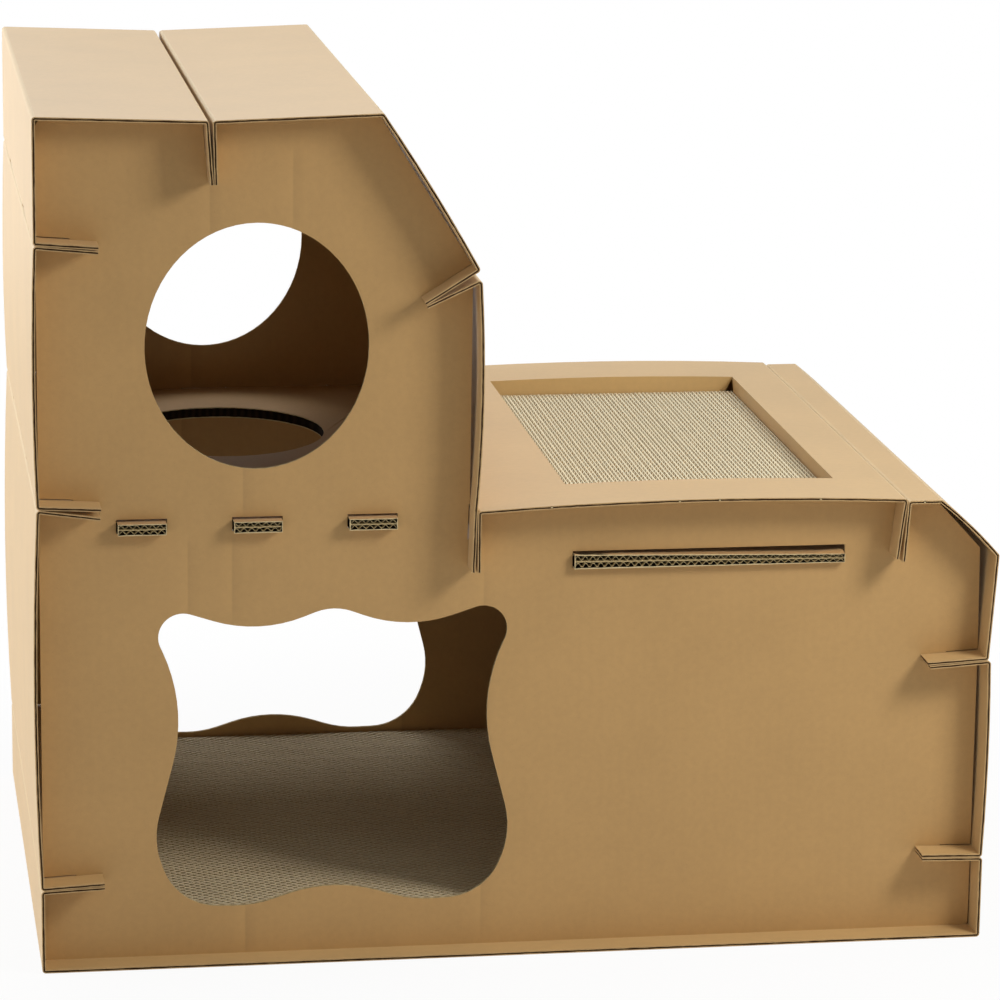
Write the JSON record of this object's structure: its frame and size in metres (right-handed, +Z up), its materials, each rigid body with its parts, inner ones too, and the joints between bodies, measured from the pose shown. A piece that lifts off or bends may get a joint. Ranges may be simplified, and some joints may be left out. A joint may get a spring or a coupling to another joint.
{
  "type": "cardboard cat house",
  "caption": "Slotted corrugated cardboard cat house: a tower with round windows beside a lower room with wavy doors, a climb hole, and scratching pads on its roof and floor.",
  "frame": {"origin": "middle of the footprint, on the ground", "axes": "+X to the right as seen from the front, with the tower at -X; +Y from the front to the back; +Z up"},
  "size_m": [0.7087, 0.5, 0.6275],
  "materials": {
    "kraft_board": "matt brown kraft paper on single-wall corrugated board",
    "double_wall_board": "matt brown kraft paper on double-wall corrugated board",
    "scratcher_strips": "cut edges of corrugated strips, rough"
  },
  "bodies": {
    "root": {"front_panel": "kraft_board", "back_panel": "kraft_board", "base_tray": "kraft_board", "left_lower_wall": "kraft_board", "left_upper_wall": "kraft_board", "tower_roof_left": "kraft_board", "tower_roof_right": "kraft_board", "tower_right_wall": "kraft_board", "lower_roof": "kraft_board", "shoulder": "kraft_board", "right_wall": "kraft_board", "upper_floor": "double_wall_board", "pad_shelf": "double_wall_board", "roof_pad": "scratcher_strips", "floor_pad": "scratcher_strips"}
  },
  "joints": []
}
